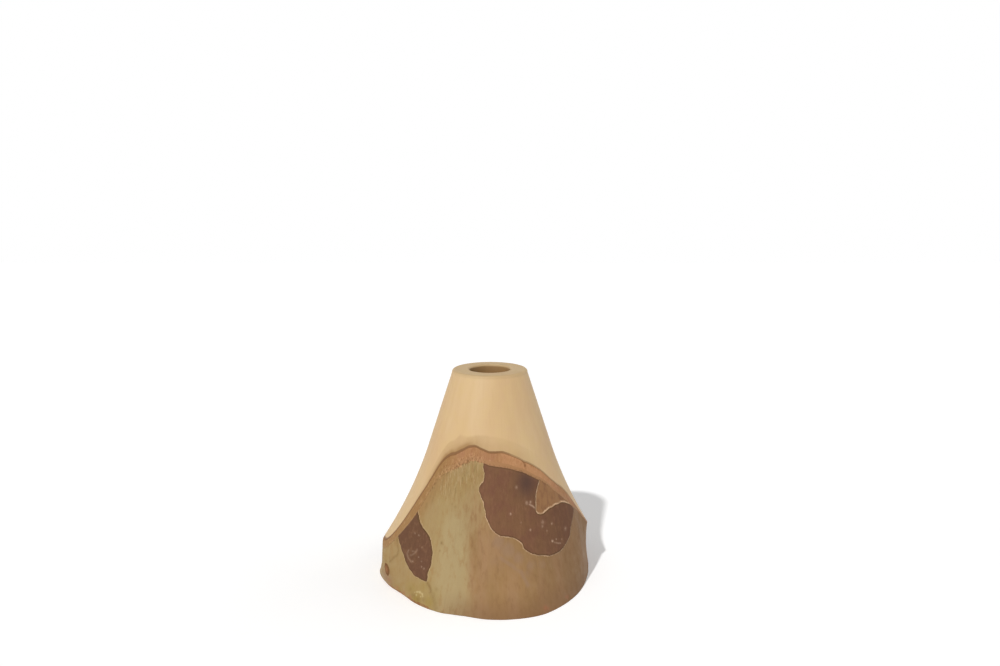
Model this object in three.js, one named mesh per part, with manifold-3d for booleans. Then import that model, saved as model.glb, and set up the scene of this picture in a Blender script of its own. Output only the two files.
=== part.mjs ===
// A turned wooden bud vase with natural bark left on its foot.
//
// The vase is cut on a lathe from a short log that leans in the turning axis. The straight
// flaring form takes the bark off the upper part and leaves it on the foot, so the edge
// between wood and bark rises to an arch in front and stays low at the back. A glass test
// tube stands in the bore and holds the water.
//
// Millimetres, +Z up. The turning axis is the Z axis and the base lies at Z = 0. The arch
// faces -Y, which is the front, and +X is to its right.

import * as THREE from 'three';
import { mergeVertices } from 'three/addons/utils/BufferGeometryUtils.js';
import Module from 'manifold-3d';

// Turned form

const vaseHeight = 137;
// Radius that the straight side would have at the very top.
const topRadius = 23.4;
// Millimetres that the side grows outwards for each millimetre down.
const sideSlope = 0.3266;
// Below this height the side also curves outwards, and stands out by this much at the base.
const flareHeight = 88;
const footFlare = 18;
const rimRounding = 1.8;
const mouthRounding = 1.3;

// Glass tube and its bore

const tubeRadius = 12.5;
const tubeLength = 100;
const tubeWall = 1.2;
// The bore is wider than the tube by this much on each side.
const tubeClearance = 0.5;
// The rim of the tube stays this far below the mouth of the vase.
const tubeRecess = 7;
const seatGap = 0.3;

// Log and bark, in plan and in height at equal steps of angle, which start at the front and
// go round by the right side, the back and the left side.

// Radius of a plain round log, and how far the foot of this one stands out from that.
const logRadius = 66;
const footBulges = [
  -5.1, -3.5, -1.9, -2.6, -2.8, -2.4, -0.7, 2.4, 1.5, 1.5, 1, 1,
  1, 1.2, 1.6, 3, 5, 6.5, 7.6, 2.7, -2.8, -3.9, -5.2, -7,
];
// Height at which the wood comes out of the bark.
const woodEdgeHeights = [
  93.9, 93.1, 87.9, 81.3, 70.5, 59.5, 37, 34, 27.5, 24, 22, 20.5,
  20, 20, 20, 20, 20.5, 22, 24.2, 32.3, 61.9, 85.5, 92.2, 96.8,
];
// How far the side of the log bows out on the way up to that edge, as a share of the room
// between the log and the turned form. At 0 the room closes evenly, and 1 would fill it.
const sideBows = [
  0.24, 0.2, 0.12, 0.22, 0.37, 0.58, -0.12, 0.06, 0.08, 0.06, 0.05, 0.05,
  0.04, 0.04, 0.05, 0.05, 0.06, 0, -0.65, 0.61, 0.7, 0.35, 0.3, 0.12,
];
// Whole thickness of the bark, from the wood to its smooth skin.
const barkThicknesses = [
  1.7, 1.9, 1.8, 1.9, 1.8, 2, 1.8, 1.9, 2, 2, 2, 2,
  2, 2, 2, 2, 2, 2, 2, 2.8, 3.6, 2, 2, 2,
];
const skinThickness = 0.45;
// Dry wood and bark shrink apart by this much, and so do the layers of bark.
const layerGap = 0.25;
const flakeThickness = 0.5;

// Old flakes of outer bark. Each outline is drawn on a plane that faces the given angle, in
// degrees from the front towards the right: millimetres to its right, and height. It is
// drawn past the edge of the bark, and the turned form trims it there.

const rightFlakeAngle = 32;
const rightFlakeOutline = [
  [-22.5, 98], [-23.5, 79], [-26.5, 70.5], [-25.5, 64], [-25, 55.5], [-22, 48.5],
  [-18.5, 45.5], [-12, 44], [-7, 40], [-6, 37], [-1, 33], [6.5, 30.5], [15, 29],
  [22.5, 31], [29, 35.5], [33, 43.5], [36.5, 50], [34.5, 52.5], [27, 56.5], [19.5, 57],
  [12.5, 55.5], [7.5, 54], [4, 56.5], [5, 63.5], [6, 69.5], [8.5, 75], [10, 86], [-6, 97],
];
const leftFlakeAngle = -57;
const leftFlakeOutline = [
  [1, 62], [3.5, 50.5], [7.5, 43], [10.5, 40], [13, 35], [15, 29.5], [15.5, 22.5],
  [14.5, 19], [15.5, 14.5], [11, 14.5], [5.5, 16], [0.5, 20.5], [-4, 27.5], [-8.5, 34.5],
  [-13, 46], [-7, 60],
];
const flakeCurveSteps = 3;

// The stub of a dead twig in the bark, near the foot on the left.

const knotAngle = -71;
const knotHeight = 12.2;
const knotHalfWidth = 2.3;
const knotHalfHeight = 4.1;
// Its top leans to the left by this many degrees.
const knotTilt = 7;
const knotProud = 0.3;

// Fineness of the mesh

const roundSteps = 96;
const tubeSteps = 44;
const knotSteps = 20;
const bowlSteps = 8;
const roundingSteps = 4;
const riseSteps = 4;
const flareSteps = 10;
const weldDistance = 1e-4;
// Cutting solids run past the base and the mouth by this much.
const cutterMargin = 5;

const wasm = await Module();
wasm.setup();

const fullTurn = 2 * Math.PI;
const boreRadius = tubeRadius + tubeClearance;
const boreFloor = vaseHeight - tubeRecess - tubeLength - seatGap;

// A solid for cutting and joining, from a closed three.js geometry.
function solidOf(geometry) {
  const bare = geometry.clone();
  bare.deleteAttribute('normal');
  bare.deleteAttribute('uv');
  const welded = mergeVertices(bare, weldDistance);
  const corners = welded.index.array;
  const kept = [];
  for (let i = 0; i < corners.length; i += 3) {
    const [a, b, c] = corners.slice(i, i + 3);
    if (a !== b && b !== c && c !== a) {
      kept.push(a, b, c);
    }
  }
  return new wasm.Manifold(new wasm.Mesh({
    numProp: 3,
    vertProperties: welded.attributes.position.array,
    triVerts: new Uint32Array(kept),
  }));
}

// A three.js mesh from a finished solid.
function pieceOf(name, solid, material) {
  const mesh = solid.getMesh();
  const geometry = new THREE.BufferGeometry();
  geometry.setAttribute('position', new THREE.BufferAttribute(mesh.vertProperties, 3));
  geometry.setIndex(new THREE.BufferAttribute(mesh.triVerts, 1));
  geometry.computeVertexNormals();
  const piece = new THREE.Mesh(geometry, material);
  piece.name = name;
  return piece;
}

function finish(colour, roughness) {
  return new THREE.MeshStandardMaterial({ color: colour, roughness, metalness: 0 });
}

// A profile of [radius, height] points turned round the Z axis.
function turnedSolid(profile, steps) {
  const points = profile.map(([radius, height]) => new THREE.Vector2(radius, height));
  const geometry = new THREE.LatheGeometry(points, steps);
  geometry.rotateX(Math.PI / 2);
  return solidOf(geometry);
}

// Points along part of a circle in the profile plane, both ends included.
function arcPoints(centreRadius, centreHeight, size, fromDegrees, toDegrees) {
  const points = [];
  for (let i = 0; i <= roundingSteps; i += 1) {
    const degrees = THREE.MathUtils.lerp(fromDegrees, toDegrees, i / roundingSteps);
    const angle = THREE.MathUtils.degToRad(degrees);
    points.push([centreRadius + size * Math.cos(angle), centreHeight + size * Math.sin(angle)]);
  }
  return points;
}

// Radius of the turned side at a height.
function turnedRadius(height) {
  const below = Math.max(0, flareHeight - height) / flareHeight;
  return topRadius + sideSlope * (vaseHeight - height) + footFlare * below * below;
}

// The whole turned form, before the bore is made and as if the log were thick enough.
function turnedForm() {
  const profile = [[0, 0]];
  for (let i = 0; i <= flareSteps; i += 1) {
    const height = (flareHeight * i) / flareSteps;
    profile.push([turnedRadius(height), height]);
  }
  const shoulder = vaseHeight - rimRounding;
  const sideAngle = THREE.MathUtils.radToDeg(Math.atan(sideSlope));
  const reach = rimRounding * Math.cos(Math.atan(sideSlope));
  const centre = turnedRadius(shoulder) - reach;
  profile.push(...arcPoints(centre, shoulder, rimRounding, sideAngle, 90));
  profile.push([0, vaseHeight]);
  return turnedSolid(profile, roundSteps);
}

function boreCutter() {
  const above = vaseHeight + mouthRounding;
  const roundingCentre = boreRadius + mouthRounding;
  const profile = [
    [0, boreFloor],
    [boreRadius, boreFloor],
    ...arcPoints(roundingCentre, vaseHeight - mouthRounding, mouthRounding, 180, 90),
    [roundingCentre, above],
    [0, above],
  ];
  return turnedSolid(profile, tubeSteps);
}

// A smooth value at any angle, from values at equal steps round the vase.
function aroundVase(values, angle) {
  const count = values.length;
  const place = (((angle / fullTurn) % 1) + 1) % 1 * count;
  const before = Math.floor(place);
  const t = place - before;
  const [a, b, c, d] = [-1, 0, 1, 2].map((k) => values[(before + k + count) % count]);
  const slope = c - a;
  const bend = 2 * a - 5 * b + 4 * c - d;
  const twist = 3 * b - a - 3 * c + d;
  return b + 0.5 * (slope * t + bend * t * t + twist * t * t * t);
}

// Radius of the wood under the bark: from the foot outline up through the edge of the bark,
// where the room between the log and the turned form closes.
function woodRadius(angle, height) {
  const foot = logRadius + aroundVase(footBulges, angle) - aroundVase(barkThicknesses, angle);
  const rise = height / aroundVase(woodEdgeHeights, angle);
  const filled = aroundVase(sideBows, angle) * rise;
  const room = (turnedRadius(0) - foot) * (1 - rise) * (1 - filled);
  return turnedRadius(height) - room;
}

// A closed solid whose side passes through rings of points. The rings lie at even shares of
// the height of the wood's edge, from one step below the base to one step above the edge, and
// the last of them is repeated above the mouth.
function stackedRings(radiusAt) {
  const ringCount = riseSteps + 4;
  const positions = [];
  for (let ring = 0; ring < ringCount; ring += 1) {
    const step = Math.min(ring - 1, riseSteps + 1);
    const onTop = ring === ringCount - 1;
    for (let i = 0; i < roundSteps; i += 1) {
      const angle = (fullTurn * i) / roundSteps;
      const height = (aroundVase(woodEdgeHeights, angle) * step) / riseSteps;
      const radius = radiusAt(angle, height);
      const level = onTop ? vaseHeight + cutterMargin : height;
      positions.push(radius * Math.sin(angle), -radius * Math.cos(angle), level);
    }
  }
  const bottomCentre = ringCount * roundSteps;
  const topCentre = bottomCentre + 1;
  positions.push(0, 0, -cutterMargin);
  positions.push(0, 0, vaseHeight + cutterMargin);
  const lastRing = (ringCount - 1) * roundSteps;
  const indices = [];
  for (let i = 0; i < roundSteps; i += 1) {
    const next = (i + 1) % roundSteps;
    indices.push(bottomCentre, next, i);
    indices.push(topCentre, lastRing + i, lastRing + next);
    for (let ring = 0; ring < lastRing; ring += roundSteps) {
      const above = ring + roundSteps;
      indices.push(ring + i, ring + next, above + next);
      indices.push(ring + i, above + next, above + i);
    }
  }
  const geometry = new THREE.BufferGeometry();
  geometry.setAttribute('position', new THREE.Float32BufferAttribute(positions, 3));
  geometry.setIndex(indices);
  return solidOf(geometry);
}

// The log out to a depth measured from the wood, or from the smooth skin of the bark.
function logFromWood(outwards) {
  return stackedRings((angle, height) => woodRadius(angle, height) + outwards);
}

function logFromSkin(outwards) {
  const skin = (angle, height) => woodRadius(angle, height) + aroundVase(barkThicknesses, angle);
  return stackedRings((angle, height) => skin(angle, height) + outwards);
}

// An outline on a plane that faces a given angle, pushed from the axis out through the bark.
function outlinePrism(shape, facingDegrees, curveSteps) {
  const reach = turnedRadius(0);
  const geometry = new THREE.ExtrudeGeometry(shape, {
    depth: reach,
    bevelEnabled: false,
    curveSegments: curveSteps,
  });
  const angle = THREE.MathUtils.degToRad(facingDegrees);
  const across = new THREE.Vector3(Math.cos(angle), Math.sin(angle), 0);
  const up = new THREE.Vector3(0, 0, 1);
  const outwards = new THREE.Vector3(Math.sin(angle), -Math.cos(angle), 0);
  geometry.applyMatrix4(new THREE.Matrix4().makeBasis(across, up, outwards));
  return solidOf(geometry);
}

// A closed shape with a smooth curve through every point of an outline.
function smoothShape(outline) {
  const points = outline.map(([across, height]) => new THREE.Vector3(across, height, 0));
  const curve = new THREE.CatmullRomCurve3(points, true, 'centripetal');
  const drawn = curve.getPoints(outline.length * flakeCurveSteps).slice(0, -1);
  return new THREE.Shape(drawn.map((point) => new THREE.Vector2(point.x, point.y)));
}

function knotShape(clearance) {
  const shape = new THREE.Shape();
  const width = knotHalfWidth + clearance;
  const height = knotHalfHeight + clearance;
  const tilt = THREE.MathUtils.degToRad(knotTilt);
  shape.absellipse(0, knotHeight, width, height, 0, fullTurn, false, tilt);
  return shape;
}

function woodBody(turned) {
  return turned.intersect(logFromWood(0)).subtract(boreCutter());
}

// One layer of bark between two solids of the log, trimmed by the turned form, with a hole
// for the knot.
function barkLayer(turned, outer, inner) {
  const knotHole = outlinePrism(knotShape(layerGap), knotAngle, knotSteps);
  return turned.intersect(outer.subtract(inner)).subtract(knotHole);
}

function barkFlake(turned, outline, facingDegrees) {
  const inner = logFromSkin(layerGap);
  const outer = logFromSkin(layerGap + flakeThickness);
  const cutter = outlinePrism(smoothShape(outline), facingDegrees, flakeCurveSteps);
  return turned.intersect(outer.subtract(inner)).intersect(cutter);
}

function pinKnot() {
  const stub = outlinePrism(knotShape(0), knotAngle, knotSteps);
  return stub.intersect(logFromSkin(knotProud)).subtract(logFromWood(layerGap));
}

// A test tube with a round bottom and a fire-polished rim, standing on the bore's floor.
function glassTube() {
  const innerRadius = tubeRadius - tubeWall;
  const bottom = boreFloor + seatGap;
  const ballCentre = bottom + tubeRadius;
  const rimCentre = bottom + tubeLength - tubeWall / 2;
  const bowl = (radius) => {
    const points = [];
    for (let i = 0; i <= bowlSteps; i += 1) {
      const angle = (Math.PI / 2) * (i / bowlSteps);
      points.push([radius * Math.sin(angle), ballCentre - radius * Math.cos(angle)]);
    }
    points[0][0] = 0;
    return points;
  };
  const profile = [
    ...bowl(tubeRadius),
    ...arcPoints(tubeRadius - tubeWall / 2, rimCentre, tubeWall / 2, 0, 180),
    ...bowl(innerRadius).reverse(),
  ];
  return turnedSolid(profile, tubeSteps);
}

const palewood = finish(0xd8b98b, 0.62);
const innerBarkFinish = finish(0xb8825a, 0.8);
const smoothBarkFinish = finish(0xa98c61, 0.7);
const flakeFinish = finish(0x74523f, 0.85);
const knotFinish = finish(0x8a4a2a, 0.8);
const glass = new THREE.MeshStandardMaterial({
  color: 0xe6f0ee,
  roughness: 0.05,
  metalness: 0,
  transparent: true,
  opacity: 0.35,
});

const turned = turnedForm();
const innerBarkOutside = logFromSkin(-skinThickness - layerGap);

const vase = new THREE.Group();
vase.add(pieceOf('wood_body', woodBody(turned), palewood));
vase.add(pieceOf('inner_bark', barkLayer(turned, innerBarkOutside, logFromWood(layerGap)),
  innerBarkFinish));
vase.add(pieceOf('smooth_bark', barkLayer(turned, logFromSkin(0), logFromSkin(-skinThickness)),
  smoothBarkFinish));
vase.add(pieceOf('bark_flake_left', barkFlake(turned, leftFlakeOutline, leftFlakeAngle),
  flakeFinish));
vase.add(pieceOf('bark_flake_right', barkFlake(turned, rightFlakeOutline, rightFlakeAngle),
  flakeFinish));
vase.add(pieceOf('pin_knot', pinKnot(), knotFinish));
vase.add(pieceOf('glass_tube', glassTube(), glass));

export default vase;
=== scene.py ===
# A turned wooden bud vase, with the natural bark of its log left on the foot and a glass
# test tube inside.
#
# Each solid of the CAD model is replaced by a finer mesh of the same form, with the relief,
# worn edges and colours that the wood and the bark have, and with some shade painted into the
# colours. Lengths are in millimetres until a mesh is made, and angles in degrees, from the
# front (-Y) towards the right (+X).

import math

import bmesh
import bpy
import numpy as np
from mathutils.geometry import delaunay_2d_cdt
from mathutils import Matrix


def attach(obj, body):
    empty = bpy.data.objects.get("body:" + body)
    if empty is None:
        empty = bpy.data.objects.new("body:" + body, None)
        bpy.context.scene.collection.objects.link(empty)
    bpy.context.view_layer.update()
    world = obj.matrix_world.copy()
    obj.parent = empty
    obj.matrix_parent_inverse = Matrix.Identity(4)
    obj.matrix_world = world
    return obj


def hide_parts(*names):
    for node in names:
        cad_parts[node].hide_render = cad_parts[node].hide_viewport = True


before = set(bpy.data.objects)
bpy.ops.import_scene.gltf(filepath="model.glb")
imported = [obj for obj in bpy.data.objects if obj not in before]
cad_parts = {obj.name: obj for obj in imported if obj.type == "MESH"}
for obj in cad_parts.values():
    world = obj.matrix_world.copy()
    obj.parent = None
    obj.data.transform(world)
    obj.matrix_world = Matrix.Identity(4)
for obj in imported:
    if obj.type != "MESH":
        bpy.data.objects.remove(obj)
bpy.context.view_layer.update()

MM = 0.001

# The camera, at the photograph's viewing angle

CAMERA_PLACE = (0.0065, -0.4519, 0.2267)
CAMERA_PITCH = 8.42
CAMERA_LENS = 26
SENSOR_WIDTH = 36

camera_data = bpy.data.cameras.new("camera")
camera_data.lens = CAMERA_LENS
camera_data.sensor_width = SENSOR_WIDTH
camera = bpy.data.objects.new("camera", camera_data)
camera.location = CAMERA_PLACE
camera.rotation_euler = (math.radians(90 - CAMERA_PITCH), 0, 0)
bpy.context.scene.collection.objects.link(camera)
bpy.context.scene.camera = camera

# Turned form

VASE_HEIGHT = 137
TOP_RADIUS = 23.4
SIDE_SLOPE = 0.3266
ALONG_SIDE = math.hypot(1, SIDE_SLOPE)
FLARE_HEIGHT = 88
FOOT_FLARE = 18
RIM_ROUNDING = 1.8
MOUTH_ROUNDING = 1.3

# Glass tube and its bore

TUBE_RADIUS = 12.5
TUBE_LENGTH = 100
TUBE_WALL = 1.2
BORE_RADIUS = 13
BORE_FLOOR = 29.7
TUBE_BOTTOM = 30

# Log and bark, at every 15 degrees

LOG_RADIUS = 66
FOOT_BULGES = (
    -5.1, -3.5, -1.9, -2.6, -2.8, -2.4, -0.7, 2.4, 1.5, 1.5, 1, 1,
    1, 1.2, 1.6, 3, 5, 6.5, 7.6, 2.7, -2.8, -3.9, -5.2, -7,
)
WOOD_EDGE_HEIGHTS = (
    93.9, 93.1, 87.9, 81.3, 70.5, 59.5, 37, 34, 27.5, 24, 22, 20.5,
    20, 20, 20, 20, 20.5, 22, 24.2, 32.3, 61.9, 85.5, 92.2, 96.8,
)
SIDE_BOWS = (
    0.24, 0.2, 0.12, 0.22, 0.37, 0.58, -0.12, 0.06, 0.08, 0.06, 0.05, 0.05,
    0.04, 0.04, 0.05, 0.05, 0.06, 0, -0.65, 0.61, 0.7, 0.35, 0.3, 0.12,
)
BARK_THICKNESSES = (
    1.7, 1.9, 1.8, 1.9, 1.8, 2, 1.8, 1.9, 2, 2, 2, 2,
    2, 2, 2, 2, 2, 2, 2, 2.8, 3.6, 2, 2, 2,
)
SKIN_THICKNESS = 0.45
FLAKE_THICKNESS = 0.55

RIGHT_FLAKE_ANGLE = 32
RIGHT_FLAKE_OUTLINE = (
    (-22.5, 98), (-23.5, 79), (-26.5, 70.5), (-25.5, 64), (-25, 55.5), (-22, 48.5),
    (-18.5, 45.5), (-12, 44), (-7, 40), (-6, 37), (-1, 33), (6.5, 30.5), (15, 29),
    (22.5, 31), (29, 35.5), (33, 43.5), (36.5, 50), (34.5, 52.5), (27, 56.5), (19.5, 57),
    (12.5, 55.5), (7.5, 54), (4, 56.5), (5, 63.5), (6, 69.5), (8.5, 75), (10, 86), (-6, 97),
)
LEFT_FLAKE_ANGLE = -57
LEFT_FLAKE_OUTLINE = (
    (-1.5, 60), (2.8, 49.3), (6.9, 43), (10.1, 39.8), (13, 35), (15, 29.5), (15.5, 22.5),
    (14.5, 19), (15.5, 14.5), (11, 14.5), (5.5, 16), (0.5, 20.5), (-4, 27.5), (-8.5, 34.5),
    (-13, 46), (-7, 60),
)

KNOT_ANGLE = -71
KNOT_HEIGHT = 12.2
KNOT_HALF_WIDTH = 2.3
KNOT_HALF_HEIGHT = 4.1
KNOT_TILT = 7

# Fine relief, which the CAD solids leave out

# The bark shrinks a little more than the wood, so its cut lies this far under the wood's.
CUT_STEP = 0.12
# Softly rounded lower edge of the bark, wider where the left of it is worn.
FOOT_CHAMFER = 0.35
WORN_CHAMFER = 1.1
CHAMFER_SLOPE = 0.8
WORN_FROM = -84
WORN_TO = -36
# Raised margin of the smooth bark along the broken edge of a flake.
LIP_HEIGHT = 0.14
LIP_WIDTH = 0.7
FLAKE_EDGE_HEIGHT = 0.34
FLAKE_EDGE_WIDTH = 0.9
# A flake reaches this far into the skin.
FLAKE_SINK = 0.12
# The bark swells a little beside the knot.
KNOT_SWELLING = 1

# Fineness of the meshes

FRONT_SPAN = 105
FRONT_STEP = 0.36
BACK_STEP = 1
SKIN_ROWS = 200
CONE_ROWS = 140
HIDDEN_ROWS = 24
CUT_ROWS = 10
ROUNDING_STEPS = 8
OUTLINE_STEP = 0.4
GRID_STEP = 0.6
UNROLL_RADIUS = 55
BOWL_ROWS = 24
WALL_ROWS = 11
TUBE_COLUMNS = 128

front = np.arange(-FRONT_SPAN, FRONT_SPAN, FRONT_STEP)
back = np.arange(FRONT_SPAN, 360 - FRONT_SPAN, BACK_STEP)
ANGLES = np.concatenate([front, back])


def blend(value, low, high):
    """0 below low, 1 above high, and a smooth step between."""
    t = np.clip((value - low) / (high - low), 0, 1)
    return t * t * (3 - 2 * t)


def span(value, start, full, still, end):
    """1 from full to still, and fading to 0 at the start and the end."""
    return blend(value, start, full) * blend(value, end, still)


def bump(value, centre, width):
    return np.exp(-(((value - centre) / width) ** 2))


def signed(angle):
    """The same angle between -180 and 180."""
    return (angle + 180) % 360 - 180


def around(values, angle):
    """A smooth value at any angle, from values at equal steps round the vase."""
    count = len(values)
    place = np.mod(angle / 360, 1) * count
    before = np.floor(place).astype(int)
    t = place - before
    table = np.asarray(values)
    a, b, c, d = (table[(before + k) % count] for k in (-1, 0, 1, 2))
    slope = c - a
    bend = 2 * a - 5 * b + 4 * c - d
    twist = 3 * b - a - 3 * c + d
    return b + 0.5 * (slope * t + bend * t**2 + twist * t**3)


def rough(angle, height, cells_round, cell_height, seed):
    """Smooth noise from -1 to 1 that closes on itself round the vase."""
    levels = 64
    table = np.random.default_rng(seed).uniform(-1, 1, (cells_round, levels))
    across = np.mod(angle / 360, 1) * cells_round
    along = height / cell_height + levels / 4
    i = np.floor(across).astype(int)
    j = np.floor(along).astype(int)
    s = blend(across - i, 0, 1)
    t = blend(along - j, 0, 1)

    def corner(di, dj):
        return table[(i + di) % cells_round, (j + dj) % levels]

    low = corner(0, 0) * (1 - s) + corner(1, 0) * s
    high = corner(0, 1) * (1 - s) + corner(1, 1) * s
    return low * (1 - t) + high * t


def turned_radius(height):
    below = np.maximum(0, FLARE_HEIGHT - height) / FLARE_HEIGHT
    return TOP_RADIUS + SIDE_SLOPE * (VASE_HEIGHT - height) + FOOT_FLARE * below**2


def wood_radius(angle, height):
    """Radius of the wood under the bark, with the slight flutes of a grown log."""
    foot = LOG_RADIUS + around(FOOT_BULGES, angle) - around(BARK_THICKNESSES, angle)
    rise = height / around(WOOD_EDGE_HEIGHTS, angle)
    filled = around(SIDE_BOWS, angle) * rise
    room = (turned_radius(0) - foot) * (1 - rise) * (1 - filled)
    flutes = 0.05 * rough(angle, height, 90, 30, 11) + 0.015 * rough(angle, height, 400, 9, 12)
    return turned_radius(height) - room + flutes


def skin_relief(angle, height):
    waves = 0.12 * rough(angle, height, 26, 30, 21) + 0.05 * rough(angle, height, 80, 12, 22)
    streaks = 0.025 * rough(angle, height, 420, 16, 23)
    beside_knot = KNOT_SWELLING * bump(signed(angle), KNOT_ANGLE - 18, 11) * bump(height, 6.5, 4.5)
    return waves + streaks + beside_knot - 0.2


def skin_radius(angle, height):
    return wood_radius(angle, height) + around(BARK_THICKNESSES, angle) + skin_relief(angle, height)


def middle_radius(angle, height):
    """Radius where the thick inner bark ends and its thin smooth skin begins."""
    return skin_radius(angle, height) - SKIN_THICKNESS


def flake_radius(angle, height):
    return skin_radius(angle, height) + FLAKE_THICKNESS


def cut_height(radius_at, angle, step=CUT_STEP):
    """Height at which a surface of the log comes out through the turned form."""
    low = np.full(np.shape(angle), 4.0)
    high = around(WOOD_EDGE_HEIGHTS, angle) + 6
    for _ in range(40):
        middle = (low + high) / 2
        inside = radius_at(angle, middle) < turned_radius(middle) - step
        low = np.where(inside, middle, low)
        high = np.where(inside, high, middle)
    return (low + high) / 2


def at(angle, radius, height):
    """Points in space, from cylinder coordinates."""
    turn, radius, height = np.broadcast_arrays(np.radians(angle), radius, height)
    return np.stack([radius * np.sin(turn), -radius * np.cos(turn), height], axis=-1)


def arc(centre_radius, centre_height, size, from_degrees, to_degrees):
    """Radii and heights along an arc of a profile."""
    turn = np.radians(np.linspace(from_degrees, to_degrees, ROUNDING_STEPS + 1))
    return list(zip(centre_radius + size * np.cos(turn), centre_height + size * np.sin(turn)))


def turned(profile, angles=ANGLES):
    """Rows of points round the vase, from radii and heights."""
    return [at(angles, radius, height) for radius, height in profile]


def fractions(count):
    return np.linspace(0, 1, count + 1)[1:]


def unroll(angle):
    """Width on the unrolled bark."""
    return np.radians(angle) * UNROLL_RADIUS


# Outlines of the flakes, on the unrolled skin


def smooth_outline(outline):
    """Even points on a closed smooth curve through the given ones."""
    points = np.array(outline, float)
    count = len(points)
    steps = 40
    curve = []
    for i in range(count):
        a, b, c, d = (points[(i + k) % count] for k in (-1, 0, 1, 2))
        knots = np.cumsum([0] + [np.linalg.norm(side) ** 0.5 for side in (b - a, c - b, d - c)])
        for t in np.linspace(knots[1], knots[2], steps, endpoint=False):
            level = [a, b, c, d]
            for width in (1, 2, 3):
                level = [
                    ((knots[k + width] - t) * level[k] + (t - knots[k]) * level[k + 1])
                    / (knots[k + width] - knots[k])
                    for k in range(4 - width)
                ]
            curve.append(level[0])
    curve = np.array(curve + [curve[0]])
    length = np.concatenate([[0], np.cumsum(np.linalg.norm(np.diff(curve, axis=0), axis=1))])
    places = np.arange(0, length[-1] - OUTLINE_STEP / 2, OUTLINE_STEP)
    return np.stack([np.interp(places, length, curve[:, k]) for k in (0, 1)], axis=1)


def on_skin(points, facing):
    """Angle and height on the skin of points on the plane that faces an angle."""
    across, height = points[:, 0], points[:, 1]
    outwards = np.full(len(points), 50.0)
    for _ in range(30):
        angle = facing + np.degrees(np.arctan2(across, outwards))
        outwards = np.sqrt(np.maximum(skin_radius(angle, height) ** 2 - across**2, 1))
    return angle, height


def ragged(points, seed):
    """The outline with small irregular steps, as bark breaks."""
    random = np.random.default_rng(seed)
    count = len(points)
    shift = np.zeros(count)
    for spacing, size in ((16, 0.35), (6, 0.22), (2, 0.1)):
        stations = random.uniform(-size, size, count // spacing)
        shift += around(stations, 360 * np.arange(count) / count)
    tangent = np.roll(points, -1, axis=0) - np.roll(points, 1, axis=0)
    tangent /= np.linalg.norm(tangent, axis=1)[:, None]
    return points + shift[:, None] * np.stack([tangent[:, 1], -tangent[:, 0]], axis=1)


def flake_outline(outline, facing, seed):
    """Closed outline of a flake as points of unrolled width and height."""
    angle, height = on_skin(ragged(smooth_outline(outline), seed), facing)
    points = np.stack([unroll(angle), height], axis=1)
    return np.vstack([points, points[:1]])


def distance_to(line, across, height):
    """Distance of each place from a line through points."""
    places = np.stack(np.broadcast_arrays(across, height), axis=-1)
    nearest = np.inf
    for a, b in zip(line, line[1:]):
        side = b - a
        along = np.clip((places - a) @ side / (side @ side), 0, 1)
        gap = np.linalg.norm(places - a - along[..., None] * side, axis=-1)
        nearest = np.minimum(nearest, gap)
    return nearest


def inside_of(outline, points):
    inside = np.zeros(len(points), bool)
    for a, b in zip(outline, outline[1:]):
        spans = (a[1] > points[:, 1]) != (b[1] > points[:, 1])
        height = b[1] - a[1] if b[1] != a[1] else 1
        cross = a[0] + (points[:, 1] - a[1]) * (b[0] - a[0]) / height
        inside ^= spans & (points[:, 0] < cross)
    return inside


# Meshes


def new_mesh(name, points, faces, is_sharp, values):
    """A smooth mesh with values at its points, and sharp where is_sharp picks an edge's ends."""
    mesh = bpy.data.meshes.new(name)
    mesh.from_pydata((points * MM).tolist(), [], faces)
    mesh.shade_smooth()
    ends = np.empty(len(mesh.edges) * 2, int)
    mesh.edges.foreach_get("vertices", ends)
    layer = mesh.attributes.new("sharp_edge", "BOOLEAN", "EDGE")
    layer.data.foreach_set("value", is_sharp(ends.reshape(-1, 2)))
    for key, data in values.items():
        layer = mesh.attributes.new(key, "FLOAT", "POINT")
        layer.data.foreach_set("value", np.asarray(data, np.float32))
    return mesh


def add_piece(name, mesh, body, node, material):
    mesh.materials.append(material)
    piece = bpy.data.objects.new(name, mesh)
    bpy.context.scene.collection.objects.link(piece)
    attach(piece, body)
    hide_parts(node)


def mesh_of_rows(name, rows, values, start=None, end=None, sharp_rows=()):
    """A closed mesh through rows of points that go round the vase. With a start and an end
    point it is closed there, and otherwise the last row joins the first."""
    rows = np.asarray(rows)
    count, columns = rows.shape[:2]
    points = rows.reshape(-1, 3)
    index = np.arange(count * columns).reshape(count, columns)
    right = np.roll(index, -1, axis=1)
    above, above_right = np.roll(index, -1, axis=0), np.roll(right, -1, axis=0)
    quads = np.stack([index, right, above_right, above], axis=-1)
    faces = quads.reshape(-1, 4).tolist()
    if start is not None:
        faces = quads[:-1].reshape(-1, 4).tolist()
        first, last = len(points), len(points) + 1
        points = np.vstack([points, start, end])
        faces += [[first, b, a] for a, b in zip(index[0], right[0])]
        faces += [[last, a, b] for a, b in zip(index[-1], right[-1])]
    padded = {}
    for key, data in values.items():
        data = np.broadcast_to(data, (count, columns)).ravel()
        padded[key] = np.pad(data, (0, len(points) - len(data)), mode="edge")

    def is_sharp(ends):
        row = ends // columns
        return (row[:, 0] == row[:, 1]) & np.isin(row[:, 0], sharp_rows)

    return new_mesh(name, points, faces, is_sharp, padded)


# Finishes


def colour(red, green, blue):
    """A colour as it is seen on a screen, from 0 to 255, for a shader."""
    parts = [part / 255 for part in (red, green, blue)]
    linear = [p / 12.92 if p <= 0.04045 else ((p + 0.055) / 1.055) ** 2.4 for p in parts]
    return (*linear, 1)


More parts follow.
